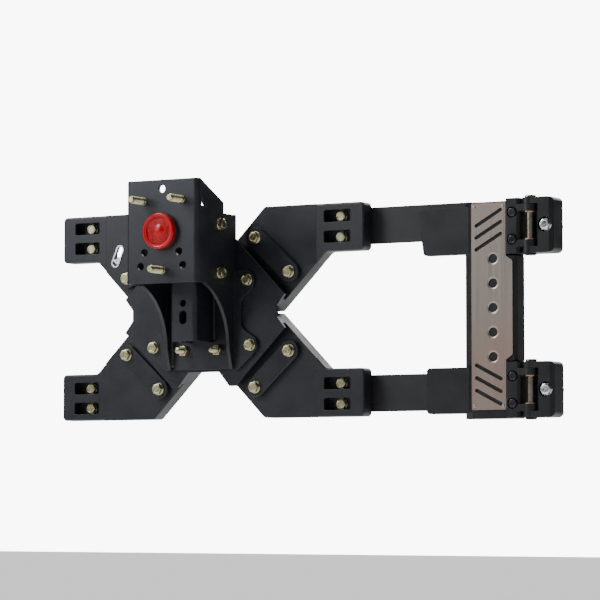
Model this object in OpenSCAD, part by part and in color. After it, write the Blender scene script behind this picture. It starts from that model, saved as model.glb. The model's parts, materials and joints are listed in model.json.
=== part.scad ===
// Swing-out spare tire carrier for a rear tailgate.
// X runs to the right, Y runs forward into the tailgate and Z runs up.
// The origin is the middle of the cross bracket, on the outer face of the tailgate skin.

/* [Cross bracket] */
// Half of the width across the four pads
half_w = 297; // [290:1:305]
// Half of the height across the four pads
half_h = 175; // [172:1:180]
// Lowest level of an upper pad
pad_low = 96; // [92:1:98]
// Distance of the seam between an arm and its pad from the middle
pad_seam = 208; // [206:1:212]
// Depth of an arm casting, from its seat to its front face
arm_depth = 26; // [24:1:28]
// Wall thickness of an arm casting
arm_wall = 6; // [5:0.5:7]
// Height of the step that carries the centre plate
step_h = 11; // [8:1:14]
// Thickness of the centre plate
centre_t = 6; // [5:0.5:8]
// Distance of a tailgate bolt from the middle
pad_bolt_x = 247; // [244:1:250]
// Levels of the two bolts in a pad
pad_bolt_z = [154, 120];
// Size of the recess around a pad bolt
recess = [50, 20];
// Thickness of the clamp bars
bar_t = 8; // [6:1:10]
// Width of the clamp bars
bar_w = 34; // [30:1:36]

/* [Base] */
// Thickness of the steel plates of the base
base_t = 6; // [5:0.5:6]
// Distance of a side plate's outer face from the middle
side_x = 63.7; // [63:0.1:63.7]
// Top of the side plates
side_top = 162; // [158:1:166]
// Bottom of the base
base_low = -94; // [-96:1:-90]
// Front edge of the side plates
side_front = -138; // [-138:1:-134]
// Half of the width of the central post
post_half = 25; // [20:1:30]

/* [Wheel mount] */
// Height of the wheel's centre
hub_z = 128; // [126:1:130]
// Front face of the wheel plate
wheel_front = -174; // [-176:1:-173]
// Half of the width of the wheel plate
wheel_half_w = 70; // [70:0.5:74]
// Half of the height of the wheel plate
wheel_half_h = 85; // [84:1:90]
// Thickness of the wheel mount's bent sheet
wheel_t = 6; // [5:0.5:6]
// Diameter of a wheel stud
stud_d = 12.7; // [12:0.1:14]
// Length of a wheel stud in front of the plate
stud_out = 36; // [30:1:45]
// Diameter of the circle that the wheel studs stand on
stud_circle = 127; // [114.3:0.1:127]
// Level of the rear end of the wheel mount's cheeks
cheek_back = -94; // [-96:1:-92]
// How far the wheel mount can be set inward and outward
depth_travel = [28, 20];

/* [Lamp] */
// Radius of the lamp lens
lens_r = 30; // [28:1:32]
// How far the lens stands in front of the plate
lens_h = 12; // [10:1:14]

/* [Hinges] */
// Distance of the hinge axis from the middle
pin_x = 598; // [596:1:600]
// Depth of the hinge axis
pin_y = -26; // [-27:1:-25]
// Radius of a hinge pin
pin_r = 6; // [5:0.5:6]
// Levels of the middle of the two hinges
hinge_z = [122, -137];
// Half of the height of a hinge
hinge_half = 44; // [42:1:46]

/* [Strap] */
// Right edge of the strap between the hinges
strap_right = 574; // [572:1:576]
// Top and bottom of the strap
strap_z = [-182, 163];
// Top and bottom of the trim plate
trim_z = [-168, 161];
// Thickness of the trim plate
trim_t = 2.5; // [2:0.5:3]

/* [Backing] */
// Thickness of the rubber under the pads and the strap
rubber_t = 2; // [1.5:0.5:2.5]
// Gap that the tailgate's sheet metal fills
skin_t = 0.9; // [0.8:0.1:1.2]
// Thickness of the plates behind the sheet metal
backing_t = 4; // [3:0.5:5]

/* [Hidden] */
$fn = 48;
seat = -rubber_t;
arm_front = seat - arm_depth;
centre_back = arm_front - step_h;
centre_front = centre_back - centre_t;
base_front = centre_front - base_t;
bar_front = arm_front - bar_t;
recess_floor = seat - 7;
backing_back = skin_t + backing_t;
wheel_back = wheel_front + wheel_t;
wheel_low = hub_z - wheel_half_h;
wheel_top = hub_z + wheel_half_h;

// A 45 degree band joins each pad to the middle: x - z stays between these two values.
band_low = 130;
band_high = -66;
// The band starts and its step ends where x + z has these values.
band_start = 110;
step_end = 172;
gap_half = 2;

clamp_bolts_at = [[95, 124], [160, 65]];
foot_bolts_at = [[95, -55], [89, 53]];
base_studs_at = [33, -62];
adjuster_y = -106;
adjuster_z = [142, 62];
stud_angles = [-90, 54, 126];
stud_neck_r = stud_d / 2 + 0.6;
spare_holes = [[0, 69.85], [41.1, -56.5], [-41.1, -56.5], [33.5, -34], [-33.5, -34]];
spare_hole_d = 13;
harness_at = [-184, 104];
harness_tilt = -23;
leaf_bolt_x = 571;
leaf_bolt_dz = 21.5;
body_bolt_x = 628;
leaf_front = -38;
flange_front = -10;
lug_r = 13;
gate_block_x = [558, 583];
body_block_x = [613, 642];
lug_in = [23, 33.6];
bush_r = 8;
tie_z = [107, 167];
tab_bolts_x = [425, 460];
tab_bolt_z = 133;
tab_front = -14;
trim_hole_r = 7.5;
rivets_at = [[500, 155], [551, 155], [500, -162], [551, -162]];
m10 = 5;
m10_hole = 5.5;
m8 = 4;

// ---------- outlines ----------

function unit(v) = v / norm(v);

// The arc that rounds corner b = [x, y, radius] between its neighbours a and c
function corner_arc(a, b, c, steps) =
    let (at = [b[0], b[1]])
    b[2] == 0 ? [at] :
    let (
        to_a = unit([a[0], a[1]] - at),
        to_c = unit([c[0], c[1]] - at),
        half = acos(to_a * to_c) / 2,
        middle = at + unit(to_a + to_c) * b[2] / sin(half),
        first = at + to_a * b[2] / tan(half) - middle,
        last = at + to_c * b[2] / tan(half) - middle,
        start = atan2(first[1], first[0]),
        sweep = atan2(last[1], last[0]) - start,
        turn = sweep > 180 ? sweep - 360 : (sweep < -180 ? sweep + 360 : sweep)
    )
    [for (k = [0 : steps]) middle + b[2] * [cos(start + turn * k / steps), sin(start + turn * k / steps)]];

// An outline from corners given as [x, y, radius]
function rounded(corners, steps = 5) =
    let (n = len(corners))
    [for (i = [0 : n - 1])
        each corner_arc(corners[(i + n - 1) % n], corners[i], corners[(i + 1) % n], steps)];

function reversed(list) = [for (i = [len(list) - 1 : -1 : 0]) list[i]];

// A quarter outline repeated on the four sides of both axes
function four_way(quarter) = concat(
    quarter,
    [for (p = reversed(quarter)) [p[0], -p[1]]],
    [for (p = quarter) [-p[0], -p[1]]],
    [for (p = reversed(quarter)) [-p[0], p[1]]]
);

module stadium(a, b, r) {
    along = b - a;
    translate(a) circle(r);
    translate(b) circle(r);
    translate(a) rotate(atan2(along[1], along[0])) translate([0, -r]) square([norm(along), 2 * r]);
}

// ---------- placing ----------

// A flat outline drawn in X and Z, from depth back forward to depth back - t
module upright(back, t) {
    translate([0, back, 0]) rotate([90, 0, 0]) linear_extrude(t) children();
}

// A flat outline drawn in Y and Z, from left to left + t
module sideways(left, t) {
    translate([left, 0, 0]) rotate([90, 0, 90]) linear_extrude(t) children();
}

// A round rod along Y, from depth back to depth back - length
module rod(at, back, length, r) {
    translate([at[0], back, at[1]]) rotate([90, 0, 0]) cylinder(h = length, r = r);
}

module on_quadrant(side, level) {
    mirror([side < 0 ? 1 : 0, 0, 0]) mirror([0, 0, level < 0 ? 1 : 0]) children();
}

module on_both_sides() {
    children();
    mirror([1, 0, 0]) children();
}

module on_quadrants() {
    for (side = [1, -1], level = [1, -1]) on_quadrant(side, level) children();
}

// ---------- fasteners ----------

// Flanged hex bolt whose head sits on z = 0 and whose shank runs down; its plain grip is a little thicker
module hex_bolt(r, length, flats, flange_r, grip = 0) {
    head = r * 1.3;
    flange = r * 0.35;
    translate([0, 0, -length]) cylinder(h = length, r = r);
    if (grip > 0) translate([0, 0, -grip]) cylinder(h = grip, r = r + 0.2);
    cylinder(h = flange, r = flange_r);
    intersection() {
        translate([0, 0, flange]) cylinder(h = head, d = flats / cos(30), $fn = 6);
        translate([0, 0, flange]) cylinder(h = head + 1, r1 = flats * 0.62, r2 = flats * 0.5);
    }
}

// Hex nut on z = 0, with its bore just wider than its bolt
module hex_nut(r, height, flats) {
    difference() {
        cylinder(h = height, d = flats / cos(30), $fn = 6);
        translate([0, 0, -1]) cylinder(h = height + 2, r = r + 0.05);
    }
}

module bolt_in(at, front, r, length, flats, flange_r, grip = 0) {
    translate([at[0], front, at[1]]) rotate([90, 0, 0]) hex_bolt(r, length, flats, flange_r, grip);
}

module nut_behind(at, front, r, height, flats) {
    translate([at[0], front, at[1]]) rotate([-90, 0, 0]) hex_nut(r, height, flats);
}

// ---------- cross bracket ----------

module arm_outline() {
    polygon(rounded([
        [(band_start + band_high) / 2, (band_start - band_high) / 2, 4],
        [band_start - gap_half, gap_half, 4],
        [band_low + gap_half, gap_half, 4],
        [pad_seam, pad_seam - band_low, 0],
        [pad_seam, half_h, 0],
        [half_h + band_high, half_h, 8]
    ]));
}

module pad_outline() {
    polygon(rounded([
        [pad_seam, pad_seam - band_low, 0],
        [band_low + pad_low, pad_low, 12],
        [half_w, pad_low, 7],
        [half_w, half_h, 7],
        [pad_seam, half_h, 0]
    ]));
}

module arm_step_outline() {
    polygon(rounded([
        [(band_start + band_high) / 2, (band_start - band_high) / 2, 4],
        [band_start - gap_half, gap_half, 4],
        [band_low + gap_half, gap_half, 4],
        [(step_end + band_low) / 2, (step_end - band_low) / 2, 5],
        [(step_end + band_high) / 2, (step_end - band_high) / 2, 5]
    ]));
}

// The hollow at the back of an arm, one wall inside its outline and split by three ribs
module arm_hollow_outline() {
    inset = arm_wall * sqrt(2);
    hollow_start = step_end + 12;
    hollow_end = pad_seam - arm_wall;
    difference() {
        polygon(rounded([
            [(hollow_start + band_high + inset) / 2, (hollow_start - band_high - inset) / 2, 5],
            [(hollow_start + band_low - inset) / 2, (hollow_start - band_low + inset) / 2, 5],
            [hollow_end, hollow_end - band_low + inset, 5],
            [hollow_end, half_h - arm_wall, 5],
            [half_h - arm_wall + band_high + inset, half_h - arm_wall, 5]
        ]));
        for (x = [pad_seam - 36, pad_seam - 73]) {
            translate([x, half_h]) rotate(-45) square([4, 300], center = true);
        }
        translate([126, 126]) rotate(45) square([4, 300], center = true);
        for (at = clamp_bolts_at) translate(at) circle(12);
    }
}

module arm(side, level) {
    on_quadrant(side, level) difference() {
        union() {
            upright(seat, arm_depth) arm_outline();
            upright(arm_front + 1, step_h + 1) arm_step_outline();
        }
        upright(seat + 1, arm_depth - arm_wall + 1) arm_hollow_outline();
        for (at = clamp_bolts_at) {
            rod(at, seat + 1, arm_depth + 2, m10_hole);
            translate([at[0], seat + 1, at[1]]) rotate([90, 0, 0]) cylinder(h = 10, r = 10.5);
        }
        foot = foot_bolts_at[level > 0 ? 1 : 0];
        rod([foot[0], abs(foot[1])], centre_front + 20 + step_h, 40, m10_hole);
    }
}

module arm_upper_right() { color("#26272a") arm(1, 1); }

// This arm has the slanted slot for the lamp's harness clip.
module arm_upper_left() {
    color("#26272a") difference() {
        arm(-1, 1);
        upright(seat + 1, arm_depth + 2) translate(harness_at) rotate(harness_tilt) {
            stadium([0, -12], [0, 12], 6);
        }
    }
}

module arm_lower_right() { color("#26272a") arm(1, -1); }
module arm_lower_left() { color("#26272a") arm(-1, -1); }

// The end of an arm, with a recess around each of its two bolts
module pad(side, level) {
    on_quadrant(side, level) difference() {
        upright(seat, arm_depth) pad_outline();
        for (z = pad_bolt_z) {
            upright(recess_floor, arm_depth) translate([pad_bolt_x, z]) {
                polygon(rounded([
                    [-recess[0] / 2, -recess[1] / 2, 3], [recess[0] / 2, -recess[1] / 2, 3],
                    [recess[0] / 2, recess[1] / 2, 3], [-recess[0] / 2, recess[1] / 2, 3]
                ]));
            }
            rod([pad_bolt_x, z], seat + 1, arm_depth, m10_hole);
        }
    }
}

module pad_upper_right() { color("#26272a") pad(1, 1); }
module pad_upper_left() { color("#26272a") pad(-1, 1); }
module pad_lower_right() { color("#26272a") pad(1, -1); }
module pad_lower_left() { color("#26272a") pad(-1, -1); }

module pad_gaskets() {
    left = pad_bolt_x - 33;
    color("#101010") on_quadrants() difference() {
        upright(0, rubber_t) {
            polygon(rounded([
                [left, pad_low + 1, 2], [half_w - 1, pad_low + 1, 6],
                [half_w - 1, half_h - 1, 6], [left, half_h - 1, 2]
            ]));
        }
        for (z = pad_bolt_z) rod([pad_bolt_x, z], 1, 5, m10_hole);
    }
}

module tailgate_bolts() {
    color("#8d8a5e") on_quadrants() for (z = pad_bolt_z) {
        bolt_in([pad_bolt_x, z], recess_floor, m10, 30, 16, 9.5);
    }
}

module tailgate_nuts() {
    color("#77787a") on_quadrants() for (z = pad_bolt_z) {
        nut_behind([pad_bolt_x, z], backing_back, m10, 8, 16);
    }
}

module clamp_bar(side, level) {
    on_quadrant(side, level) difference() {
        upright(arm_front, bar_t) stadium(clamp_bolts_at[0], clamp_bolts_at[1], bar_w / 2);
        for (at = clamp_bolts_at) rod(at, arm_front + 1, bar_t + 2, m10_hole);
    }
}

module clamp_bar_upper_right() { color("#2b2c2f") clamp_bar(1, 1); }
module clamp_bar_upper_left() { color("#2b2c2f") clamp_bar(-1, 1); }
module clamp_bar_lower_right() { color("#2b2c2f") clamp_bar(1, -1); }
module clamp_bar_lower_left() { color("#2b2c2f") clamp_bar(-1, -1); }

module clamp_bolts() {
    color("#8d8a5e") on_quadrants() for (at = clamp_bolts_at) {
        bolt_in(at, bar_front, m10, bar_t + arm_depth - 0.5, 16, 10.5);
    }
}

module clamp_nuts() {
    color("#77787a") on_quadrants() for (at = clamp_bolts_at) {
        nut_behind(at, seat - 9, m10, 8, 16);
    }
}

module centre_plate() {
    color("#2b2c2f") difference() {
        upright(centre_back, centre_t) polygon(four_way([
            [30, 98], [50, 122], [63, 122], [157, 28], [142, 9]
        ]));
        for (at = foot_bolts_at) on_both_sides() rod(at, centre_back + 1, centre_t + 2, m10_hole);
        on_both_sides() rod(base_studs_at, centre_back + 1, centre_t + 2, m10_hole);
    }
}

// ---------- base ----------

module base_back_plate() {
    inner = side_x - base_t;
    color("#26272a") difference() {
        upright(centre_front, base_t) translate([-inner, base_low]) square([2 * inner, 118 - base_low]);
        on_both_sides() rod(base_studs_at, centre_front + 1, base_t + 2, m10_hole);
    }
}

// The wall of a side plate: a concave sweep below, slots for the depth setting above
module side_wall_outline() {
    toe = [-66, -61];
    knee = [side_front, 42];
    reach = toe - knee;
    sweep_r = (reach[0] * reach[0] + reach[1] * reach[1]) / (2 * reach[0]);
    sweep_end = asin(-reach[1] / sweep_r);
    middle = [toe[0] - sweep_r, toe[1]];
    rear = centre_front;
    difference() {
        polygon(concat(
            [[rear, base_low], [toe[0] + 10, base_low], toe],
            [for (k = [1 : 16]) middle + sweep_r * [cos(sweep_end * k / 16), sin(sweep_end * k / 16)]],
            [[side_front, side_top - 10], [side_front + 10, side_top], [rear, side_top]]
        ));
        for (y = [-86, -72, -58]) translate([y, side_top]) rotate(45) square(5, center = true);
        for (z = adjuster_z) {
            stadium([adjuster_y - depth_travel[1], z], [adjuster_y + depth_travel[0], z], m10 + 0.3);
        }
    }
}

module base_side() {
    inner = side_x - base_t;
    difference() {
        union() {
            sideways(inner, base_t) side_wall_outline();
            upright(centre_front, base_t) polygon(rounded([
                [inner, 72, 0], [90, 69, 9], [103, 56, 10], [99, 38, 8], [76, 20, 18], [76, -26, 18],
                [105, -44, 8], [109, -58, 10], [98, -72, 9], [72, base_low, 3], [inner, base_low, 0]
            ]));
        }
        for (at = foot_bolts_at) rod(at, centre_front + 1, base_t + 2, m10_hole);
    }
}

module base_side_right() { color("#26272a") base_side(); }
module base_side_left() { color("#26272a") mirror([1, 0, 0]) base_side(); }

module base_post() {
    front = -109;
    low = -49;
    wall = base_t;
    height = 124;
    color("#242528") difference() {
        translate([0, 0, low]) linear_extrude(height) polygon(rounded([
            [-post_half, front, 7], [post_half, front, 7], [post_half, base_front, 0],
            [post_half - wall, base_front, 0], [post_half - wall, front + wall, 2],
            [wall - post_half, front + wall, 2], [wall - post_half, base_front, 0],
            [-post_half, base_front, 0]
        ]));
        rod([0, 14], front + wall + 1, wall + 2, 6);
        upright(front + wall + 1, wall + 2) stadium([0, -14], [0, -5], 7);
    }
}

module foot_bolts() {
    color("#8d8a5e") on_both_sides() for (at = foot_bolts_at) {
        bolt_in(at, base_front, m10, base_t + centre_t + 16, 16, 9.8);
    }
}

// These two come through from behind and carry nuts in front.
module base_bolts() {
    color("#8d8a5e") on_both_sides() translate([base_studs_at[0], centre_back, base_studs_at[1]]) {
        rotate([-90, 0, 0]) hex_bolt(m10, 36, 16, 9.5);
    }
}

module base_nuts() {
    color("#8d8a5e") on_both_sides() {
        translate([base_studs_at[0], base_front, base_studs_at[1]]) rotate([90, 0, 0]) hex_nut(m10, 9, 16);
    }
}

module harness_clip() {
    color("#c9ccce") translate([harness_at[0], arm_front, harness_at[1]]) rotate([90, 0, 0]) {
        rotate(harness_tilt) {
            linear_extrude(1.2) difference() {
                stadium([0, -12], [0, 12], 8);
                stadium([0, -12], [0, 12], 5.6);
            }
            translate([0, -6, -8]) linear_extrude(9.2) rotate(-20) square([2, 10.6], center = true);
            translate([0, -10, 0]) linear_extrude(1.2) rotate(-20) square([12, 3.5], center = true);
        }
    }
}

// ---------- wheel mount ----------

// One bent sheet: the wheel plate and its two cheeks
module wheel_channel() {
    w = wheel_half_w;
    slope_drop = 35;
    inside = w - wheel_t;
    color("#303135") difference() {
        translate([0, 0, wheel_low]) linear_extrude(2 * wheel_half_h) polygon(rounded([
            [-w, wheel_front, 8], [w, wheel_front, 8], [w, cheek_back, 0], [inside, cheek_back, 0],
            [inside, wheel_back, 2], [-inside, wheel_back, 2], [-inside, cheek_back, 0], [-w, cheek_back, 0]
        ]));
        sideways(-w - 1, 2 * w + 2) polygon([
            [wheel_back + 2, wheel_top + 1], [wheel_back + 2, wheel_top],
            [cheek_back + 1, wheel_top - slope_drop], [cheek_back + 1, wheel_top + 1]
        ]);
        sideways(-w - 1, 2 * w + 2) polygon([[-162, 183], [-162, 168], [-147, 168]]);
        for (angle = stud_angles) {
            rod(hub_point(stud_circle / 2, angle), wheel_back + 1, wheel_t + 2, stud_neck_r + 0.02);
        }
        for (at = spare_holes) rod([at[0], hub_z + at[1]], wheel_back + 1, wheel_t + 2, spare_hole_d / 2);
        rod([0, hub_z], wheel_back + 1, wheel_t + 2, lens_r + 0.3);
        for (z = adjuster_z) {
            translate([-w - 1, adjuster_y, z]) rotate([0, 90, 0]) cylinder(h = 2 * w + 2, r = m10_hole);
        }
    }
}

function hub_point(r, angle) = [r * cos(angle), hub_z + r * sin(angle)];

// A round head behind the plate, a knurled neck in it and the threaded end in front
module wheel_studs() {
    color("#a09a63") for (angle = stud_angles) {
        at = hub_point(stud_circle / 2, angle);
        rod(at, wheel_back + 5, 5, stud_neck_r + 4);
        rod(at, wheel_back, wheel_t, stud_neck_r);
        rod(at, wheel_front, stud_out - 2, stud_d / 2);
        translate([at[0], wheel_front - stud_out + 2, at[1]]) rotate([90, 0, 0]) {
            cylinder(h = 2, r1 = stud_d / 2, r2 = stud_d / 2 - 1.6);
        }
    }
}

module along_x(at, left) {
    translate([left, at[0], at[1]]) rotate([0, 90, 0]) children();
}

module adjuster_bolts() {
    color("#8d8a5e") on_both_sides() for (z = adjuster_z) {
        along_x([adjuster_y, z], wheel_half_w) hex_bolt(m10, 25, 16, 10);
    }
}

module adjuster_nuts() {
    inner = side_x - base_t;
    color("#77787a") on_both_sides() for (z = adjuster_z) {
        along_x([adjuster_y, z], inner - 8.2) hex_nut(m10, 8, 16);
    }
}

// ---------- lamp ----------

// A round section turned about the lamp's axis: x is the radius, y is the height in front of the plate
module turned_on_hub() {
    translate([0, wheel_front, hub_z]) rotate([90, 0, 0]) rotate_extrude($fn = 64) children();
}

module lamp_lens() {
    rim_r = lens_r - 7;
    dish = lens_h - 3.5;
    color("#d4141c") turned_on_hub() polygon(concat(
        [[lens_r, 3], [lens_r, lens_h - 3]],
        [for (k = [1 : 6]) [lens_r - 3 + 3 * cos(k * 15), lens_h - 3 + 3 * sin(k * 15)]],
        [[rim_r + 1, lens_h], [rim_r - 1, dish], [10, dish + 1], [8, lens_h - 1]],
        [[4, lens_h], [0, lens_h], [0, lens_h - 4.5], [rim_r - 2, dish - 3], [rim_r - 2, 3]]
    ));
}

// It fills the plate's hole and its flange lies behind the plate.
module lamp_grommet() {
    color("#101010") turned_on_hub() polygon([
        [22.05, -wheel_t - 3], [lens_r + 4, -wheel_t - 3], [lens_r + 4, -wheel_t], [lens_r + 0.2, -wheel_t],
        [lens_r + 0.2, 0], [lens_r - 2, 0], [lens_r - 2, 3], [22.05, 3]
    ]);
}

module lamp_housing() {
    color("#161616") turned_on_hub() polygon([
        [0, -26], [22, -26], [22, 3], [19.8, 3], [19.8, -24], [0, -24]
    ]);
}

module lamp_board() {
    color("#2f5a34") turned_on_hub() square([19.6, 1.6]);
}

module lamp_leds() {
    color("#e8e0c8") for (k = [0 : 6]) {
        ring = k == 0 ? 0 : 11;
        translate([ring * cos(k * 60), wheel_front - 1.6, hub_z + ring * sin(k * 60)]) rotate([90, 0, 0]) {
            cylinder(h = 2, r = 2.4);
        }
    }
}

module lamp_socket() {
    color("#161616") translate([0, wheel_front + 26, hub_z - 9]) difference() {
        translate([-9, 0, -6]) cube([18, 12, 12]);
        translate([-7.4, 3, -4.4]) cube([14.8, 10, 8.8]);
    }
}

// ---------- strap ----------

module strap_tabs() {
    polygon(rounded([[389, 158, 6], [400, 82, 6], [486, 82, 0], [486, 158, 0]]));
    polygon(rounded([[405, -99, 6], [405, -173, 6], [486, -173, 0], [486, -99, 0]]));
}

module strap_flanges() {
    for (z = hinge_z) {
        low = max(z - hinge_half, strap_z[0] + 1);
        high = min(z + hinge_half, strap_z[1]);
        translate([550, low]) square([gate_block_x[1] - 550, high - low]);
    }
}

module leaf_bolt_holes(r) {
    for (z = hinge_z, dz = [-leaf_bolt_dz, leaf_bolt_dz]) {
        rod([leaf_bolt_x, z + dz], 10, 100, r);
    }
}

module hinge_strap() {
    front = arm_front;
    notch_gap = 2;
    height = strap_z[1] - strap_z[0];
    color("#1d1e20") difference() {
        union() {
            translate([0, 0, strap_z[0]]) linear_extrude(height) polygon([
                [470, seat], [strap_right, seat], [strap_right, front + 4], [strap_right - 4, front],
                [495, front]
            ]);
            upright(seat, seat - tab_front) strap_tabs();
            upright(seat, seat - flange_front) strap_flanges();
        }
        for (z = hinge_z) {
            translate([556, front - 1, z - hinge_half - notch_gap]) {
                cube([30, flange_front - front + 1, 2 * (hinge_half + notch_gap)]);
            }
        }
        for (k = [0 : 4]) {
            translate([499, front + arm_wall, strap_z[0] + 8 + k * 67]) cube([51, arm_depth, 61]);
        }
        leaf_bolt_holes(m8 + 0.3);
        on_levels() for (x = tab_bolts_x) rod([x, tab_bolt_z], seat + 1, 10, m8 + 0.05);
    }
}

module on_levels() {
    children();
    mirror([0, 0, 1]) children();
}

module strap_gasket() {
    color("#101010") difference() {
        upright(0, rubber_t) {
            strap_tabs();
            strap_flanges();
            translate([470, strap_z[0]]) square([86, strap_z[1] - strap_z[0]]);
            translate([550, -90]) square([strap_right - 550, 165]);
        }
        leaf_bolt_holes(m8 + 0.3);
        on_levels() for (x = tab_bolts_x) rod([x, tab_bolt_z], 1, 5, m8 + 0.3);
    }
}

module slanted_slot(z, rise) {
    stadium([504, z - rise], [547, z + rise], 3);
}

module trim_plate() {
    front = arm_front;
    color("#b9aaa3") difference() {
        upright(front, trim_t) difference() {
            polygon(rounded([
                [495, trim_z[0], 2], [556, trim_z[0], 2], [556, -89, 0], [568, -81, 4],
                [568, 68, 4], [556, 76, 0], [556, trim_z[1], 2], [495, trim_z[1], 2]
            ]));
            for (z = [137, 118, 99]) slanted_slot(z, 12);
            for (z = [-108, -128, -148]) slanted_slot(z, -11);
        }
        for (k = [0 : 4]) translate([533, front, 72 - 39 * k]) rotate([90, 0, 0]) {
            translate([0, 0, -1]) cylinder(h = trim_t + 2, r = trim_hole_r);
            translate([0, 0, trim_t - 1.2]) cylinder(h = 1.21, r1 = trim_hole_r, r2 = trim_hole_r + 3.5);
        }
        for (at = rivets_at) rod(at, front + 1, trim_t + 2, 1.6);
    }
}

module trim_rivets() {
    color("#8f8a86") for (at = rivets_at) {
        rod(at, arm_front, trim_t, 1.5);
        rod(at, arm_front - trim_t, 1, 2.6);
    }
}

// ---------- hinges ----------

module lug(z, height, hole_r, toward) {
    difference() {
        union() {
            translate([pin_x, pin_y, z]) cylinder(h = height, r = lug_r);
            translate([min(pin_x, toward), leaf_front, z]) {
                cube([abs(toward - pin_x), lug_r + pin_y - leaf_front, height]);
            }
        }
        translate([pin_x, pin_y, z - 1]) cylinder(h = height + 2, r = hole_r);
    }
}

// The inner lugs hold the bushes.
module gate_leaf(z) {
    bevel = 4;
    difference() {
        union() {
            translate([0, 0, z - hinge_half]) linear_extrude(2 * hinge_half) polygon([
                [gate_block_x[0], flange_front], [gate_block_x[1], flange_front],
                [gate_block_x[1], leaf_front + bevel], [gate_block_x[1] - bevel, leaf_front],
                [gate_block_x[0] + bevel, leaf_front], [gate_block_x[0], leaf_front + bevel]
            ]);
            for (side = [0, 1]) {
                lug(side == 0 ? z + lug_in[0] : z - lug_in[1], lug_in[1] - lug_in[0], bush_r + 0.02, 575);
            }
        }
        for (dz = [-leaf_bolt_dz, leaf_bolt_dz]) {
            rod([leaf_bolt_x, z + dz], 0, 60, m8 + 0.3);
            rod([leaf_bolt_x, z + dz], leaf_front + 6, 20, 9);
        }
    }
}

module gate_leaf_upper() { color("#19191b") gate_leaf(hinge_z[0]); }
module gate_leaf_lower() { color("#19191b") gate_leaf(hinge_z[1]); }

module gate_leaf_bolts() {
    color("#1b1b1d") for (z = hinge_z, dz = [-leaf_bolt_dz, leaf_bolt_dz]) {
        bolt_in([leaf_bolt_x, z + dz], leaf_front + 6, m8, 16 - leaf_front - 6, 13, 8, -leaf_front - 6);
    }
}

module bushes(z) {
    for (side = [1, -1]) translate([pin_x, pin_y, z]) mirror([0, 0, side < 0 ? 1 : 0]) difference() {
        union() {
            translate([0, 0, lug_in[0]]) cylinder(h = lug_in[1] - lug_in[0], r = bush_r);
            translate([0, 0, lug_in[0] - 2]) cylinder(h = 2, r = bush_r + 2.5);
        }
        cylinder(h = hinge_half, r = pin_r + 0.05);
    }
}

module bushes_upper() { color("#b5713f") bushes(hinge_z[0]); }
module bushes_lower() { color("#b5713f") bushes(hinge_z[1]); }

// The block that lies on the body, with its far corners rounded
module body_block(z) {
    bevel = 6;
    intersection() {
        translate([0, 0, z - hinge_half]) linear_extrude(2 * hinge_half) polygon([
            [body_block_x[0], 0], [body_block_x[1], 0], [body_block_x[1], leaf_front + bevel],
            [body_block_x[1] - bevel, leaf_front], [body_block_x[0] + 4, leaf_front],
            [body_block_x[0], leaf_front + 4]
        ]);
        upright(1, 2 - leaf_front) polygon(rounded([
            [body_block_x[0] - 1, z - hinge_half, 0], [body_block_x[1], z - hinge_half, 8],
            [body_block_x[1], z + hinge_half, 8], [body_block_x[0] - 1, z + hinge_half, 0]
        ]));
    }
}

// The web closes the gap beside the pin, behind the inner lugs.
module pin_web(z) {
    front = pin_y + lug_r + 1;
    translate([pin_x - 10, front, z - hinge_half]) {
        cube([body_block_x[0] - pin_x + 11, -1.5 - front, 2 * hinge_half]);
    }
}

// The outer lugs hold the pin; a dish around the bolt takes its head.
module body_leaf(z) {
    lug_h = hinge_half - lug_in[1] - 0.4;
    difference() {
        union() {
            body_block(z);
            pin_web(z);
            lug(z + hinge_half - lug_h, lug_h, pin_r + 0.02, 620);
            lug(z - hinge_half, lug_h, pin_r + 0.02, 620);
        }
        rod([body_bolt_x, z], 1, 60, m10 + 0.3);
        translate([body_bolt_x, leaf_front + 8, z]) rotate([90, 0, 0]) {
            cylinder(h = 8.01, r1 = 10.6, r2 = 12.2);
        }
    }
}

module body_leaf_upper() { color("#19191b") body_leaf(hinge_z[0]); }
module body_leaf_lower() { color("#19191b") body_leaf(hinge_z[1]); }

module body_leaf_bolts() {
    color("#c9ccce") for (z = hinge_z) {
        bolt_in([body_bolt_x, z], leaf_front + 8, m10, 22 - leaf_front - 8, 16, 10, -leaf_front - 8);
    }
}

module pin(z) {
    reach = hinge_half + 3.5;
    translate([pin_x, pin_y, z - reach]) cylinder(h = 2 * reach, r = pin_r);
    translate([pin_x, pin_y, z + hinge_half]) cylinder(h = 4, r = pin_r + 3);
}

module pin_upper() { color("#5d5546") pin(hinge_z[0]); }
module pin_lower() { color("#5d5546") pin(hinge_z[1]); }

module pin_retainers() {
    color("#2a2a2c") for (z = hinge_z) translate([pin_x, pin_y, z - hinge_half - 3]) difference() {
        cylinder(h = 3, r = pin_r + 3);
        translate([0, 0, -1]) cylinder(h = 5, r = pin_r + 0.02);
    }
}

// ---------- backing ----------

module backing_plate(left, right) {
    difference() {
        upright(backing_back, backing_t) polygon(rounded([
            [left, tie_z[0], 6], [right, tie_z[0], 6], [right, tie_z[1], 6], [left, tie_z[1], 6]
        ]));
        for (z = pad_bolt_z) rod([pad_bolt_x, z], backing_back + 1, backing_t + 2, m10 + 0.25);
        for (x = tab_bolts_x) rod([x, tab_bolt_z], backing_back + 1, backing_t + 2, m8 + 0.3);
    }
}

module tie_plate_upper() { color("#3a3b3d") backing_plate(224, 482); }
module tie_plate_lower() { color("#3a3b3d") mirror([0, 0, 1]) backing_plate(224, 482); }
module nut_plate_upper() { color("#3a3b3d") mirror([1, 0, 0]) backing_plate(220, 274); }
module nut_plate_lower() { color("#3a3b3d") mirror([1, 0, 0]) mirror([0, 0, 1]) backing_plate(220, 274); }

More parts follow.
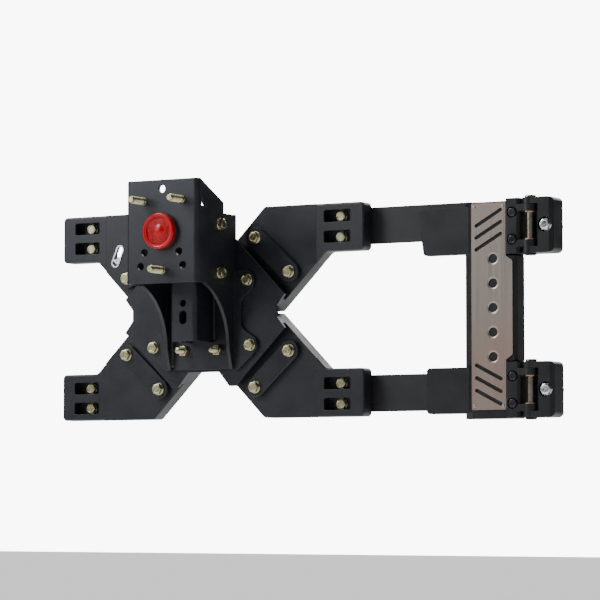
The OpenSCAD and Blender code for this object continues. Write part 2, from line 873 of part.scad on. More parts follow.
// These come from behind the tie plates and thread into the strap's tabs.
module tab_bolts() {
    color("#8d8a5e") on_levels() for (x = tab_bolts_x) {
        translate([x, backing_back, tab_bolt_z]) rotate([-90, 0, 0]) hex_bolt(m8, 14, 13, 8);
    }
}

arm_upper_right();
arm_upper_left();
arm_lower_right();
arm_lower_left();
pad_upper_right();
pad_upper_left();
pad_lower_right();
pad_lower_left();
pad_gaskets();
tailgate_bolts();
tailgate_nuts();
clamp_bar_upper_right();
clamp_bar_upper_left();
clamp_bar_lower_right();
clamp_bar_lower_left();
clamp_bolts();
clamp_nuts();
centre_plate();
base_back_plate();
base_side_right();
base_side_left();
base_post();
foot_bolts();
base_bolts();
base_nuts();
harness_clip();
wheel_channel();
wheel_studs();
adjuster_bolts();
adjuster_nuts();
lamp_lens();
lamp_grommet();
lamp_housing();
lamp_board();
lamp_leds();
lamp_socket();
hinge_strap();
strap_gasket();
trim_plate();
trim_rivets();
gate_leaf_upper();
gate_leaf_lower();
gate_leaf_bolts();
bushes_upper();
bushes_lower();
tie_plate_upper();
tie_plate_lower();
nut_plate_upper();
nut_plate_lower();
tab_bolts();
body_leaf_upper();
body_leaf_lower();
body_leaf_bolts();
pin_upper();
pin_lower();
pin_retainers();
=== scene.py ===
import json
import math
import bmesh
import bpy
from mathutils import Matrix, Vector


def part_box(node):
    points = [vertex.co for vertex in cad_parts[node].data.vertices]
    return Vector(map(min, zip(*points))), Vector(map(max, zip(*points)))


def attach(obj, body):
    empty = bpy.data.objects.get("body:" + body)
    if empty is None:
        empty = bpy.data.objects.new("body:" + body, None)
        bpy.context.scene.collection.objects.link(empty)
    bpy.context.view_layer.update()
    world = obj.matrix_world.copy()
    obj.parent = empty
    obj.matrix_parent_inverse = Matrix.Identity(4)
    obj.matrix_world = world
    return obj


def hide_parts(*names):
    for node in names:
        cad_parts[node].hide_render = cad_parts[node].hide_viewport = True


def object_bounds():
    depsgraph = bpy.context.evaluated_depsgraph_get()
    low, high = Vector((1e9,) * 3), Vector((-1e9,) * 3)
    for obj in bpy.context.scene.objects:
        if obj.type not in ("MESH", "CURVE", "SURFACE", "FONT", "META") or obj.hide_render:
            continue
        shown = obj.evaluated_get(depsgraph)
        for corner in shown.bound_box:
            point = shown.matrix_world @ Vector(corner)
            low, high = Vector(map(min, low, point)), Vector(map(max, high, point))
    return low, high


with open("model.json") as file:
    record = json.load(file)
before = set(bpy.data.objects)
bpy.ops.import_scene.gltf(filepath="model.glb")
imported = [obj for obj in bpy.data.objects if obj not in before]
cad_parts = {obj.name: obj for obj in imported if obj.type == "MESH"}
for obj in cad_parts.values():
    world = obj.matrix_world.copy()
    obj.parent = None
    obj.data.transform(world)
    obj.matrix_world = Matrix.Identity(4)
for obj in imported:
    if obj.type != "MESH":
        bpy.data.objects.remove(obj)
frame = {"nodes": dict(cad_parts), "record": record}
cad_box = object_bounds()
nodes = frame["nodes"]
record = frame["record"]
body_of = {n: body for body, names in record["behaviour"]["bodies"].items() for n in names}
slot_of = {s["node"]: s["material_slot"] for s in record["subparts"]}
mm = 0.001
X, Y, Z = Vector((1, 0, 0)), Vector((0, 1, 0)), Vector((0, 0, 1))


# ---------- camera, lights, floor ----------

VIEW_FROM = Vector((2.764, -4.408, -0.311))
LOOK_ASIDE = Vector((0.032, 0.019, 0))
LENS_MM = 186
FLOOR_Z = -1.0
FLOOR_GLOW = 0.98
WORLD_SEEN = 9.0
WORLD_GIVEN = 0.028


def aim(obj, target):
    obj.rotation_mode = "QUATERNION"
    obj.rotation_quaternion = (target - obj.location).to_track_quat("-Z", "Y")


def add_camera():
    data = bpy.data.cameras.new("camera")
    data.lens = LENS_MM
    data.sensor_width = 36
    camera = bpy.data.objects.new("camera", data)
    bpy.context.scene.collection.objects.link(camera)
    camera.location = VIEW_FROM
    aim(camera, (cad_box[0] + cad_box[1]) / 2 + LOOK_ASIDE)
    bpy.context.scene.camera = camera


def add_area(name, at, target, width, height, watts, tint=(1, 1, 1)):
    data = bpy.data.lights.new(name, "AREA")
    data.shape = "RECTANGLE"
    data.size, data.size_y = width, height
    data.energy = watts
    data.color = tint
    light = bpy.data.objects.new(name, data)
    bpy.context.scene.collection.objects.link(light)
    light.location = at
    aim(light, target)


def add_world(seen, given):
    """A pale studio: bright where the camera sees it, and much dimmer as a light."""
    world = bpy.data.worlds.new("studio")
    bpy.context.scene.world = world
    world.use_nodes = True
    tree = world.node_tree
    back = tree.nodes["Background"]
    path = tree.nodes.new("ShaderNodeLightPath")
    level = tree.nodes.new("ShaderNodeMapRange")
    tree.links.new(path.outputs["Is Camera Ray"], level.inputs["Value"])
    level.inputs["To Min"].default_value = given
    level.inputs["To Max"].default_value = seen
    tree.links.new(level.outputs["Result"], back.inputs["Strength"])
    back.inputs["Color"].default_value = (1, 1, 1, 1)


def add_floor():
    """A large pale floor, with a glow of its own because the lamps hardly reach its far side."""
    bpy.ops.mesh.primitive_plane_add(size=60, location=(0, 0, FLOOR_Z))
    floor = bpy.context.object
    floor.name = "floor"
    material = bpy.data.materials.new("floor")
    material.use_nodes = True
    shader = material.node_tree.nodes["Principled BSDF"]
    shader.inputs["Base Color"].default_value = (0.8, 0.8, 0.8, 1)
    shader.inputs["Roughness"].default_value = 0.5
    shader.inputs["Emission Color"].default_value = (1, 1, 1, 1)
    shader.inputs["Emission Strength"].default_value = FLOOR_GLOW
    floor.data.materials.append(material)


def light_studio():
    middle = Vector((0.15, -0.08, 0.05))
    key_side = Vector((-0.56, -0.56, 0.61)).normalized()
    add_area("key", middle + key_side * 2.0, middle, 0.6, 0.6, 24, (0.95, 0.97, 1.0))
    add_area("top", middle + Vector((0.0, -0.9, 2.4)), middle, 3.4, 1.6, 34, (0.93, 0.96, 1.0))
    add_area("front", middle + Vector((-1.2, -1.15, 0.5)), middle, 1.0, 0.6, 6.5, (0.86, 0.92, 1.0))
    add_area("behind", middle + Vector((0.2, 3.2, 1.9)), middle, 3.0, 1.6, 50)
    add_world(WORLD_SEEN, WORLD_GIVEN)


# ---------- material building blocks ----------

class Shader:
    """A Principled material with a few short ways to add nodes to it."""

    def __init__(self, name, color, roughness, metallic=0.0):
        self.material = bpy.data.materials.new(name)
        self.material.use_nodes = True
        self.tree = self.material.node_tree
        self.main = self.tree.nodes["Principled BSDF"]
        self.main.inputs["Base Color"].default_value = (*color, 1)
        self.main.inputs["Roughness"].default_value = roughness
        self.main.inputs["Metallic"].default_value = metallic
        self.place = self.add("ShaderNodeTexCoord").outputs["Object"]
        self.material.diffuse_color = (*color, 1)

    def add(self, kind, **settings):
        made = self.tree.nodes.new(kind)
        for key, value in settings.items():
            setattr(made, key, value)
        return made

    def link(self, source, target):
        self.tree.links.new(source, target)

    def noise(self, scale, detail=2.0, stretch=(1, 1, 1), distortion=0.0):
        spread = self.add("ShaderNodeMapping")
        spread.inputs["Scale"].default_value = stretch
        self.link(self.place, spread.inputs["Vector"])
        made = self.add("ShaderNodeTexNoise")
        made.inputs["Scale"].default_value = scale
        made.inputs["Detail"].default_value = detail
        made.inputs["Distortion"].default_value = distortion
        self.link(spread.outputs["Vector"], made.inputs["Vector"])
        return made.outputs["Fac"]

    def range(self, value, low, high, to_low, to_high):
        made = self.add("ShaderNodeMapRange")
        for key, number in (("From Min", low), ("From Max", high), ("To Min", to_low), ("To Max", to_high)):
            made.inputs[key].default_value = number
        self.link(value, made.inputs["Value"])
        return made.outputs["Result"]

    def math(self, operation, a, b):
        made = self.add("ShaderNodeMath", operation=operation)
        for socket, value in zip(made.inputs, (a, b)):
            if isinstance(value, (int, float)):
                socket.default_value = value
            else:
                self.link(value, socket)
        return made.outputs["Value"]

    def mix(self, share, a, b):
        made = self.add("ShaderNodeMix", data_type="RGBA")
        self.link(share, made.inputs["Factor"])
        for socket, value in ((made.inputs["A"], a), (made.inputs["B"], b)):
            if isinstance(value, tuple):
                socket.default_value = (*value, 1)
            else:
                self.link(value, socket)
        return made.outputs["Result"]

    def color(self, value):
        self.link(value, self.main.inputs["Base Color"])

    def roughness(self, value):
        self.link(value, self.main.inputs["Roughness"])

    def bump(self, heights, edge=0.0):
        """heights lists (height, strength, depth in metres); edge rounds the shading of corners."""
        normal = None
        if edge > 0:
            bevel = self.add("ShaderNodeBevel", samples=4)
            bevel.inputs["Radius"].default_value = edge
            normal = bevel.outputs["Normal"]
        for height, strength, depth in heights:
            made = self.add("ShaderNodeBump")
            made.inputs["Strength"].default_value = strength
            made.inputs["Distance"].default_value = depth
            self.link(height, made.inputs["Height"])
            if normal is not None:
                self.link(normal, made.inputs["Normal"])
            normal = made.outputs["Normal"]
        self.link(normal, self.main.inputs["Normal"])

    def edges(self, radius, low=0.02, high=0.25):
        """1 along sharp edges, 0 on flats."""
        bevel = self.add("ShaderNodeBevel", samples=4)
        bevel.inputs["Radius"].default_value = radius
        flat = self.add("ShaderNodeNewGeometry")
        dot = self.add("ShaderNodeVectorMath", operation="DOT_PRODUCT")
        self.link(bevel.outputs["Normal"], dot.inputs[0])
        self.link(flat.outputs["Normal"], dot.inputs[1])
        return self.range(dot.outputs["Value"], 1 - low, 1 - high, 0, 1)


def shade(color, factor):
    return tuple(min(1.0, c * factor) for c in color)


def powder_coat(name, color, roughness, grain, texture, edge_wear_and_highlight=0.6):
    """Coated metal: orange-peel or texture grain, faint clouding, and sharp edges painted paler, partly as
    rubbed wear and partly as a painted highlight where light catches the rounded edges.
    """
    s = Shader(name, color, roughness)
    cloud = s.noise(7, 4)
    base = s.mix(s.range(cloud, 0.3, 0.7, 0, 1), shade(color, 0.82), shade(color, 1.2))
    speck = s.noise(grain * 1.7, 3)
    base = s.mix(s.range(speck, 0.56, 0.7, 0, 0.35), base, shade(color, 1.9))
    # Painted highlight and wear: patches along the sharp edges are lightened, partly for rubbed paint and
    # partly for light catching the rounded edges.
    worn_and_highlit_edges = s.math("MULTIPLY", s.edges(1.4 * mm), s.range(s.noise(90, 4), 0.42, 0.68, 0, edge_wear_and_highlight))
    s.color(s.mix(worn_and_highlit_edges, base, shade(color, 6)))
    s.roughness(s.range(s.noise(24, 5), 0.3, 0.75, roughness - 0.07, roughness + 0.09))
    s.bump([(s.noise(grain, 4), texture, 0.25 * mm), (s.noise(38, 2), 0.12, 0.3 * mm)], 0.7 * mm)
    return s.material


def brushed_steel(name, color, roughness, stretch, tint):
    """Sheet with long fine scratches along one direction and a drifting tint."""
    s = Shader(name, color, roughness, 1.0)
    streak = s.noise(1, 6, stretch)
    drift = s.noise(9, 2, (1, 1, 0.6))
    base = s.mix(s.range(drift, 0.35, 0.65, 0, 1), color, tint)
    s.color(s.mix(s.range(streak, 0.3, 0.7, 0, 0.5), base, shade(color, 0.72)))
    s.roughness(s.range(streak, 0.25, 0.75, roughness - 0.08, roughness + 0.14))
    s.bump([(streak, 0.22, 0.08 * mm)], 0.4 * mm)
    return s.material


def plated(name, color, tints, roughness):
    """Zinc plating: a faint crystal mottle with passivation colours drifting over it."""
    s = Shader(name, color, roughness, 1.0)
    first = s.mix(s.range(s.noise(160, 3), 0.38, 0.62, 0, 1), color, tints[0])
    base = s.mix(s.range(s.noise(75, 2, distortion=1.5), 0.5, 0.72, 0, 0.8), first, tints[1])
    grime = s.math("MULTIPLY", s.range(s.noise(48, 5), 0.5, 0.8, 0, 0.6), 0.9)
    s.color(s.mix(grime, base, shade(color, 0.45)))
    s.roughness(s.range(s.noise(300, 3), 0.3, 0.7, roughness - 0.08, roughness + 0.12))
    s.bump([(s.noise(700, 3), 0.12, 0.1 * mm)], 0.5 * mm)
    return s.material


def rubber(name, color):
    s = Shader(name, color, 0.72)
    s.color(s.mix(s.range(s.noise(30, 4), 0.35, 0.7, 0, 1), color, shade(color, 1.9)))
    s.bump([(s.noise(650, 3), 0.3, 0.15 * mm)], 0.4 * mm)
    return s.material


def plastic(name, color, roughness):
    s = Shader(name, color, roughness)
    s.color(s.mix(s.range(s.noise(22, 3), 0.35, 0.7, 0, 1), color, shade(color, 1.35)))
    s.roughness(s.range(s.noise(60, 3), 0.3, 0.7, roughness - 0.05, roughness + 0.08))
    s.bump([(s.noise(1200, 2), 0.12, 0.08 * mm)], 0.4 * mm)
    return s.material


def lens_plastic(name, color):
    """Glossy coloured lens: deep colour, clear coat, a trace of moulding waviness."""
    s = Shader(name, color, 0.3)
    s.main.inputs["Coat Weight"].default_value = 0.15
    s.main.inputs["Coat Roughness"].default_value = 0.08
    s.main.inputs["Specular IOR Level"].default_value = 0.25
    s.color(s.mix(s.range(s.noise(60, 2), 0.3, 0.7, 0, 1), shade(color, 0.85), shade(color, 1.12)))
    s.bump([(s.noise(90, 2), 0.05, 0.2 * mm)], 0.3 * mm)
    return s.material


def board_material(name, color):
    """Solder mask with a grid of paler tracks."""
    s = Shader(name, color, 0.35)
    grid = s.add("ShaderNodeTexBrick")
    grid.inputs["Scale"].default_value = 260
    grid.inputs["Color1"].default_value = (*color, 1)
    grid.inputs["Color2"].default_value = (*shade(color, 0.8), 1)
    grid.inputs["Mortar"].default_value = (*shade(color, 1.9), 1)
    s.link(s.place, grid.inputs["Vector"])
    s.color(grid.outputs["Color"])
    s.bump([(s.noise(900, 2), 0.1, 0.05 * mm)])
    return s.material


MATERIALS = {
    "textured_black": powder_coat("textured_black", (0.0072, 0.0079, 0.0108), 0.42, 1100, 0.5),
    "satin_black_plate": powder_coat(
        "satin_black_plate", (0.0084, 0.0092, 0.0122), 0.36, 900, 0.28
    ),
    "casting_black": powder_coat(
        "casting_black", (0.0030, 0.0033, 0.0043), 0.42, 700, 0.35, 0.4
    ),
    "backing_black": powder_coat("backing_black", (0.010, 0.010, 0.011), 0.45, 900, 0.2),
    "brushed_trim": brushed_steel(
        "brushed_trim", (0.38, 0.328, 0.288), 0.38, (900, 900, 7), (0.43, 0.30, 0.255)
    ),
    "yellow_zinc": plated(
        "yellow_zinc", (0.50, 0.47, 0.30), ((0.56, 0.50, 0.27), (0.42, 0.46, 0.36)), 0.30
    ),
    "plain_zinc": plated(
        "plain_zinc", (0.55, 0.56, 0.57), ((0.62, 0.62, 0.62), (0.46, 0.48, 0.52)), 0.36
    ),
    "bright_zinc": plated(
        "bright_zinc", (0.78, 0.79, 0.80), ((0.85, 0.85, 0.85), (0.70, 0.73, 0.78)), 0.24
    ),
    "black_oxide": powder_coat("black_oxide", (0.006, 0.006, 0.007), 0.32, 1400, 0.15, 0.5),
    "bronze": plated("bronze", (0.66, 0.36, 0.18), ((0.72, 0.42, 0.22), (0.50, 0.27, 0.13)), 0.36),
    "pin_steel": plated(
        "pin_steel", (0.32, 0.28, 0.22), ((0.38, 0.34, 0.27), (0.25, 0.22, 0.17)), 0.32
    ),
    "rubber_black": rubber("rubber_black", (0.018, 0.018, 0.018)),
    "red_lens": lens_plastic("red_lens", (0.40, 0.0, 0.002)),
    "black_plastic": plastic("black_plastic", (0.02, 0.02, 0.021), 0.5),
    "circuit_board": board_material("circuit_board", (0.03, 0.16, 0.06)),
    "led_body": plastic("led_body", (0.80, 0.77, 0.62), 0.25),
}

for name, obj in nodes.items():
    obj.data.materials.clear()
    obj.data.materials.append(MATERIALS[slot_of[name]])


# ---------- pieces ----------

SEAM_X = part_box("pad_upper_right")[0][0]
SHARP = math.radians(32)
FLAT = math.radians(0.6)
FULL_DEPTH = 24 * mm


def new_piece(name, mesh, body, slot, replaced=()):
    piece = bpy.data.objects.new(name, mesh)
    bpy.context.scene.collection.objects.link(piece)
    mesh.materials.clear()
    mesh.materials.append(MATERIALS[slot])
    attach(piece, body)
    if replaced:
        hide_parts(*replaced)
    return piece


def smooth_by_angle(mesh, degrees):
    for face in mesh.polygons:
        face.use_smooth = True
    mesh.set_sharp_from_angle(angle=math.radians(degrees))


def finish_piece(work, name, body, slot, replaced=(), degrees=35):
    bmesh.ops.recalc_face_normals(work, faces=work.faces)
    mesh = bpy.data.meshes.new(name)
    work.to_mesh(mesh)
    work.free()
    smooth_by_angle(mesh, degrees)
    return new_piece(name, mesh, body, slot, replaced)


def plain_copy(name):
    """A CAD node's mesh with its split corners joined and its flat faces whole."""
    work = bmesh.new()
    work.from_mesh(nodes[name].data)
    bmesh.ops.remove_doubles(work, verts=work.verts, dist=1e-6)
    bmesh.ops.dissolve_limit(work, angle_limit=FLAT, verts=work.verts, edges=work.edges)
    return work


def sharp_edges(work):
    return [
        e for e in work.edges
        if len(e.link_faces) == 2 and e.calc_face_angle(0) > SHARP and not on_seam(e)
    ]


def depth_of(face):
    reach = [v.co.y for v in face.verts]
    return max(reach) - min(reach)


def on_seam(edge):
    """Where an arm meets its pad both stay square, so that only a hairline shows."""
    return all(abs(abs(v.co.x) - SEAM_X) < 0.05 * mm for v in edge.verts)


def is_outline(edge):
    """An edge between a casting's front and one of the walls that run its whole depth."""
    faces = sorted(edge.link_faces, key=lambda f: f.normal.y)
    front, wall = faces
    return front.normal.y < -0.99 and abs(wall.normal.y) < 0.1 and depth_of(wall) > FULL_DEPTH


def round_edges(work, edges, width, segments):
    bmesh.ops.bevel(
        work, geom=edges, offset=width, segments=segments, profile=0.5, affect="EDGES",
        clamp_overlap=True,
    )


def soften(name, width, outline=0.0):
    """The same part with real rounded edges, and a wider round along the outline of its front."""
    work = plain_copy(name)
    if outline > 0:
        round_edges(work, [e for e in sharp_edges(work) if is_outline(e)], outline, 4)
    round_edges(work, sharp_edges(work), width, 2)
    piece = finish_piece(work, name + "_finished", body_of[name], slot_of[name], [name], 40)
    weighted = piece.modifiers.new("weighted", "WEIGHTED_NORMAL")
    weighted.keep_sharp = True


def solids_of(name):
    """The points of each separate solid in a CAD node."""
    work = plain_copy(name)
    left = set(work.verts)
    found = []
    while left:
        group, edge = set(), [left.pop()]
        while edge:
            vert = edge.pop()
            group.add(vert)
            near = {e.other_vert(vert) for e in vert.link_edges} & left
            left -= near
            edge.extend(near)
        found.append([v.co.copy() for v in group])
    work.free()
    return found


# ---------- turned and threaded shapes ----------

def skin(work, rings, closed=False):
    """Joins rings of points into a surface, either with two end caps or back to its first ring."""
    made = [[work.verts.new(p) for p in ring] for ring in rings]
    count = len(made[0])
    pairs = list(zip(made, made[1:]))
    if closed:
        pairs.append((made[-1], made[0]))
    for low_ring, high_ring in pairs:
        for k in range(count):
            n = (k + 1) % count
            work.faces.new((low_ring[k], low_ring[n], high_ring[n], high_ring[k]))
    if not closed:
        work.faces.new(made[0])
        work.faces.new(made[-1])


def ring_at(radius, height, sides=36, turn=0.0):
    """A ring around Z; radius is a number or a function of the angle from turn."""
    points = []
    for k in range(sides):
        angle = 2 * math.pi * k / sides
        r = radius(angle) if callable(radius) else radius
        points.append(Vector((r * math.cos(angle + turn), r * math.sin(angle + turn), height)))
    return points


def turned(work, profile, frame_matrix, sides=64, closed=False):
    """A surface of revolution from (radius, height) pairs."""
    skin(work, [[frame_matrix @ p for p in ring_at(r, h, sides)] for r, h in profile], closed)


def hexagon(flats):
    return lambda angle: flats / 2 / math.cos(angle % (math.pi / 3) - math.pi / 6)


def hex_end(flats, low_z, high_z, turn, inner):
    """Rings up a hexagon's side, over its turned corners and in to a radius on its face."""
    hexed = hexagon(flats)
    edge = flats * 0.47
    drop = math.copysign(math.tan(math.radians(30)), high_z - low_z)
    return [
        ring_at(hexed, low_z, turn=turn),
        [Vector((p.x, p.y, high_z - (p.length - edge) * drop)) for p in ring_at(hexed, 0, turn=turn)],
        ring_at(edge, high_z, turn=turn),
        ring_at(inner, high_z, turn=turn),
    ]


def thread(r, start, end, pitch, turn, samples=6):
    """Rings of a helical thread from height start up to end, fading out at both."""
    steps = max(4, round((end - start) / pitch * samples))
    rings = []
    for j in range(steps + 1):
        z = start + (end - start) * j / steps
        fade = min(1.0, (z - start) / pitch, (end - z) / pitch)

        def radius(angle):
            phase = (z / pitch - angle / (2 * math.pi)) % 1
            groove = min(1.0, max(0.0, 1.7 * abs(2 * phase - 1) - 0.25))
            return r - 0.55 * pitch * (groove * fade + 0.25 * (1 - fade))

        rings.append(ring_at(radius, z, turn=turn))
    return rings


def placed(rings, matrix):
    return [[matrix @ p for p in ring] for ring in rings]


def axis_frame(origin, direction):
    """A matrix whose Z runs along direction from origin."""
    turn = direction.to_track_quat("Z", "X" if abs(direction.y) > 0.5 else "Y")
    return Matrix.Translation(origin) @ turn.to_matrix().to_4x4()


def middle_of(points):
    spans = [(min(p[i] for p in points), max(p[i] for p in points)) for i in range(3)]
    return Vector([(a + b) / 2 for a, b in spans])


def radius_of(p):
    return math.hypot(p.x, p.y)


def widest(points):
    return max(points, key=radius_of)


class Bolt:
    """A bolt's seat, direction and sizes, found from the points of its CAD solid."""

    def __init__(self, points, axis):
        middle = middle_of(points)
        for direction in (axis, -axis):
            self.matrix = axis_frame(middle, direction)
            local = [self.matrix.inverted() @ p for p in points]
            self.flange_r = radius_of(widest(local))
            rim = [p.z for p in local if radius_of(p) > self.flange_r * 0.99]
            if max(p.z for p in local) - max(rim) < min(rim) - min(p.z for p in local):
                break
        seat = min(rim)
        self.matrix = self.matrix @ Matrix.Translation((0, 0, seat))
        self.flange = max(rim) - seat
        self.top = max(p.z for p in local) - seat
        self.end = min(p.z for p in local) - seat
        self.r = radius_of(widest([p for p in local if p.z < seat + self.end + 0.1 * mm]))
        on_side = [p for p in local if seat + self.flange * 1.01 < p.z < seat + self.top * 0.9]
        on_flange = [
            p for p in local
            if abs(p.z - seat - self.flange) < 0.05 * mm and radius_of(p) < self.flange_r * 0.98
        ]
        corner = widest(on_side or on_flange)
        self.flats = 2 * radius_of(corner) * math.cos(math.radians(30))
        self.turn = math.atan2(corner.y, corner.x)

    def rings(self, threaded, pitch):
        """From the tip of the shank up over the flange and the head."""
        turn, r = self.turn, self.r
        tip = self.end
        stop = min(-0.5 * mm, tip + threaded)
        rings = [ring_at(r * 0.72, tip, turn=turn), ring_at(r * 0.8, tip + 0.3 * mm, turn=turn)]
        rings += thread(r, tip + 0.6 * mm, stop, pitch, turn)
        rings.append(ring_at(r, stop + 0.4 * mm, turn=turn))
        rings.append(ring_at(r, 0, turn=turn))
        for radius, height in ((0.985, 0), (1.0, 0.25), (0.985, 0.6), (0.94, 0.8)):
            rings.append(ring_at(self.flange_r * radius, self.flange * height, turn=turn))
        rings.append(ring_at(self.flats * 0.6, self.flange, turn=turn))
        rings += hex_end(self.flats, self.flange, self.top, turn, self.flats * 0.38)
        rings.append(ring_at(self.flats * 0.34, self.top - 0.5 * mm, turn=turn))
        return placed(rings, self.matrix)


def make_bolts(name, axis, threaded, pitch=1.5 * mm):
    work = bmesh.new()
    for points in solids_of(name):
        skin(work, Bolt(points, axis).rings(threaded, pitch))
    finish_piece(work, name + "_detailed", body_of[name], slot_of[name], [name], 38)


def make_nuts(name, axis):
    """Nuts with both faces chamfered and a countersunk bore."""
    work = bmesh.new()
    for points in solids_of(name):
        matrix = axis_frame(middle_of(points), axis)
        local = [matrix.inverted() @ p for p in points]
        corner = widest(local)
        half = max(p.z for p in local)
        bore = min(radius_of(p) for p in local)
        turn = math.atan2(corner.y, corner.x)
        flats = 2 * radius_of(corner) * math.cos(math.radians(30))
        upper = hex_end(flats, 0, half, turn, bore + 0.9 * mm)
        lower = hex_end(flats, 0, -half, turn, bore + 0.9 * mm)
        rings = list(reversed(lower[1:])) + upper[1:]
        rings.append(ring_at(bore, half - 0.8 * mm, turn=turn))
        rings.append(ring_at(bore, 0.8 * mm - half, turn=turn))
        skin(work, placed(rings, matrix), closed=True)
    finish_piece(work, name + "_detailed", body_of[name], slot_of[name], [name], 30)


def make_wheel_studs():
    """Pressed-in studs: a head behind the plate, a collar, a long thread and a dog point."""
    work = bmesh.new()
    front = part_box("wheel_channel")[0][1]
    head = 5 * mm
    dog = 5 * mm
    pitch = 1.7 * mm
    for points in solids_of("wheel_studs"):
        middle = middle_of(points)
        back = max(p.y for p in points)
        tip = min(p.y for p in points)
        matrix = axis_frame(Vector((middle.x, front, middle.z)), -Y)
        reach, behind = front - tip, back - front
        local = [matrix.inverted() @ p for p in points]
        head_r = radius_of(widest(local))
        r = radius_of(widest([p for p in local if p.z > 1 * mm]))
        neck = r + 0.55 * mm
        rings = [
            ring_at(head_r * 0.8, -behind), ring_at(head_r, 1.2 * mm - behind),
            ring_at(head_r, head - 0.8 * mm - behind), ring_at(head_r * 0.97, head - behind),
            ring_at(neck, head - behind), ring_at(neck, -0.3 * mm), ring_at(r * 0.99, 0.4 * mm),
            ring_at(r * 0.99, 3 * mm),
        ]
        rings += thread(r, 3.2 * mm, reach - dog, pitch, 0)
        rings += [
            ring_at(r * 0.84, reach - dog + 0.2 * mm), ring_at(r * 0.82, reach - 1 * mm),
            ring_at(r * 0.7, reach), ring_at(r * 0.3, reach),
        ]
        skin(work, placed(rings, matrix))
    finish_piece(work, "wheel_studs_detailed", "wheel_mount", slot_of["wheel_studs"], ["wheel_studs"], 38)


def make_lens():
    """The lamp's lens: a round rim, a dish with fine rings and a small dome."""
    low_corner, high_corner = [Vector(c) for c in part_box("lamp_lens")]
    middle = (low_corner + high_corner) / 2
    r = (high_corner.x - low_corner.x) / 2
    depth = high_corner.y - low_corner.y
    matrix = axis_frame(Vector((middle.x, high_corner.y, middle.z)), -Y)
    rim = 3 * mm
    groove, ridge = 2.6 * mm, 0.7 * mm
    dome_r, dome_h = 8 * mm, 2.2 * mm
    profile = [
        (r - 1.4 * mm, 0), (r - 0.3 * mm, 0.2 * mm), (r, 0.8 * mm),
        (r - 0.1 * mm, depth - rim - 0.2 * mm),
    ]
    for k in range(1, 9):
        angle = math.radians(k * 16)
        profile.append((
            r - rim + (rim - 0.1 * mm) * math.cos(angle),
            depth - rim + rim * math.sin(angle),
        ))
    dish = depth - 3.6 * mm
    profile += [(r - 6.6 * mm, depth - 0.6 * mm), (r - 7.6 * mm, dish + 0.5 * mm), (r - 8.2 * mm, dish)]
    for k in range(4):
        edge = r - 9 * mm - k * groove
        rise = dish + 0.25 * mm * k
        profile += [
            (edge, rise), (edge - 0.5 * mm, rise + ridge),
            (edge - 1.5 * mm, rise + ridge), (edge - 2.0 * mm, rise + 0.1 * mm),
        ]
    for k in range(1, 7):
        angle = math.radians(k * 15)
        height = dish + 1.2 * mm + dome_h * math.sin(angle)
        profile.append((dome_r * math.cos(angle), height))
    profile.append((0.4 * mm, dish + 3.42 * mm))
    work = bmesh.new()
    turned(work, profile, matrix, 96)
    finish_piece(work, "lamp_lens_moulded", "wheel_mount", "red_lens", ["lamp_lens"], 34)


def make_rivets():
    """Dome heads, each with a small well in the middle."""
    work = bmesh.new()
    shank, head_r, dome = 1.45 * mm, 2.6 * mm, 0.8 * mm
    for points in solids_of("trim_rivets"):
        middle = middle_of(points)
        back, front = max(p.y for p in points), min(p.y for p in points)
        matrix = axis_frame(Vector((middle.x, back, middle.z)), -Y)
        reach = back - front
        profile = [
            (shank, 0), (shank, reach - 1 * mm), (head_r, reach - 1 * mm),
            (head_r - 0.05 * mm, reach - 0.7 * mm),
        ]
        for angle in (0.5, 0.8, 1.1):
            profile.append((head_r * math.cos(angle), reach - dome + dome * math.sin(angle)))
        profile += [(0.8 * mm, reach), (0.7 * mm, reach - 0.5 * mm), (0.3 * mm, reach - 0.4 * mm)]
        turned(work, profile, matrix, 24)
    finish_piece(work, "trim_rivets_domed", "gate", slot_of["trim_rivets"], ["trim_rivets"], 30)


def make_pin(name):
    """A hinge pin with rounded head, greasing dimple and chamfered tail."""
    points = solids_of(name)[0]
    middle = middle_of(points)
    low_z, high_z = min(p.z for p in points), max(p.z for p in points)
    matrix = axis_frame(Vector((middle.x, middle.y, low_z)), Z)
    local = [matrix.inverted() @ p for p in points]
    head_r = radius_of(widest(local))
    r = radius_of(widest([p for p in local if p.z < 1 * mm]))
    reach = high_z - low_z
    head, cut = 4 * mm, 1.2 * mm
    profile = [
        (r - cut, 0), (r, cut), (r, reach - head), (head_r - 0.4 * mm, reach - head),
        (head_r, reach - head + 0.6 * mm), (head_r, reach - cut),
        (head_r - 0.4 * mm, reach - 0.4 * mm), (head_r - cut, reach),
        (3 * mm, reach), (2.2 * mm, reach - 1 * mm), (0.5 * mm, reach - cut),
    ]
    work = bmesh.new()
    turned(work, profile, matrix, 48)
    finish_piece(work, name + "_turned", body_of[name], slot_of[name], [name], 30)


def weld(work, start, end, out_a, out_b, size):
    """A faintly rippled bead in the corner that opens towards out_a and out_b."""
    length = (end - start).length
    along = (end - start).normalized()
    ripple, taper = 2.6 * mm, 3 * mm
    steps = round(length / ripple * 5)
    rings = []
    for j in range(steps + 1):
        at = length * j / steps
        wave = 0.97 + 0.03 * (1 - (2 * ((at / ripple) % 1) - 1) ** 2)
        ends = min(1.0, (at + 0.6 * mm) / taper, (length - at + 0.6 * mm) / taper)
        bow = size * wave * ends
        ring = [start + along * at]
        for k in range(7):
            angle = math.radians(15 * k)
            lead = along * (0.12 * size * math.sin(2 * angle))
            ring.append(ring[0] + (out_a * math.cos(angle) + out_b * math.sin(angle)) * bow + lead)
        rings.append(ring)
    skin(work, rings)


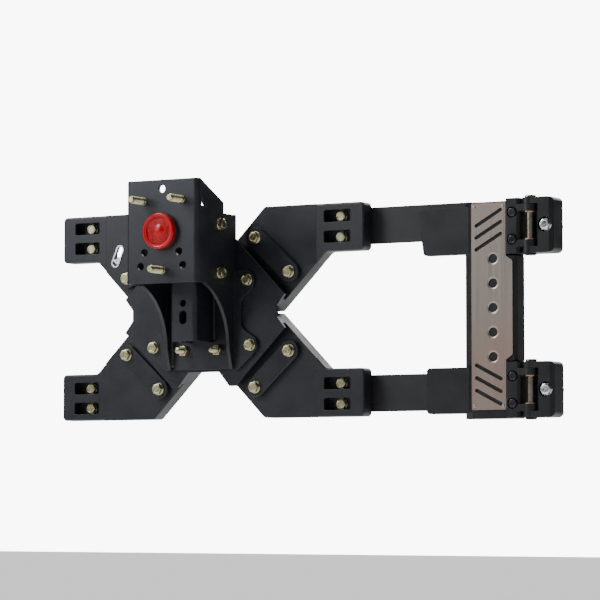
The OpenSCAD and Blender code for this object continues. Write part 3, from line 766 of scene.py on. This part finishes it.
def make_base_welds():
    """Beads between the base's back plate, its two sides and the post."""
    work = bmesh.new()
    post_low, post_high = [Vector(c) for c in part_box("base_post")]
    plate_low, plate_high = [Vector(c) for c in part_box("base_back_plate")]
    face = plate_low.y
    for side in (1, -1):
        for at_x, low_z, high_z, outward, size in (
            (post_high.x, post_low.z + 3 * mm, post_high.z - 3 * mm, X * side, 4 * mm),
            (plate_high.x, plate_low.z + 4 * mm, plate_high.z - 4 * mm, -X * side, 4.5 * mm),
        ):
            start = Vector((side * at_x, face, low_z))
            end = Vector((side * at_x, face, high_z))
            weld(work, start, end, outward, -Y, size)
    finish_piece(work, "base_welds", "gate", slot_of["base_post"], (), 50)


# How wide the edges of each kind of part are rounded
ARM_EDGE, ARM_OUTLINE = 1.0 * mm, 3.4 * mm
STRAP_EDGE, LEAF_EDGE, PLATE_EDGE, FINE_EDGE = 1.4 * mm, 1.2 * mm, 0.6 * mm, 0.3 * mm

for corner in ("upper_right", "upper_left", "lower_right", "lower_left"):
    soften("arm_" + corner, ARM_EDGE, ARM_OUTLINE)
    soften("pad_" + corner, ARM_EDGE, ARM_OUTLINE)
soften("hinge_strap", STRAP_EDGE)
for name in (
    "clamp_bar_upper_right", "clamp_bar_upper_left", "clamp_bar_lower_right", "clamp_bar_lower_left",
    "gate_leaf_upper", "gate_leaf_lower", "body_leaf_upper", "body_leaf_lower",
):
    soften(name, LEAF_EDGE)
for name in (
    "centre_plate", "base_back_plate", "base_side_right", "base_side_left", "base_post",
    "wheel_channel", "tie_plate_upper", "tie_plate_lower", "nut_plate_upper", "nut_plate_lower",
    "pad_gaskets", "strap_gasket",
):
    soften(name, PLATE_EDGE)
for name in (
    "harness_clip", "trim_plate", "bushes_upper", "bushes_lower", "pin_retainers", "lamp_socket"
):
    soften(name, FINE_EDGE)

for name, axis, threaded in (
    ("tailgate_bolts", Y, 12 * mm), ("clamp_bolts", Y, 6 * mm), ("foot_bolts", Y, 14 * mm),
    ("base_bolts", Y, 16 * mm), ("adjuster_bolts", X, 12 * mm), ("tab_bolts", Y, 10 * mm),
    ("gate_leaf_bolts", Y, 14 * mm), ("body_leaf_bolts", Y, 18 * mm),
):
    make_bolts(name, axis, threaded)
for name, axis in (("tailgate_nuts", Y), ("clamp_nuts", Y), ("base_nuts", Y), ("adjuster_nuts", X)):
    make_nuts(name, axis)
make_wheel_studs()
make_lens()
make_rivets()
make_pin("pin_upper")
make_pin("pin_lower")
make_base_welds()

add_camera()
light_studio()
add_floor()
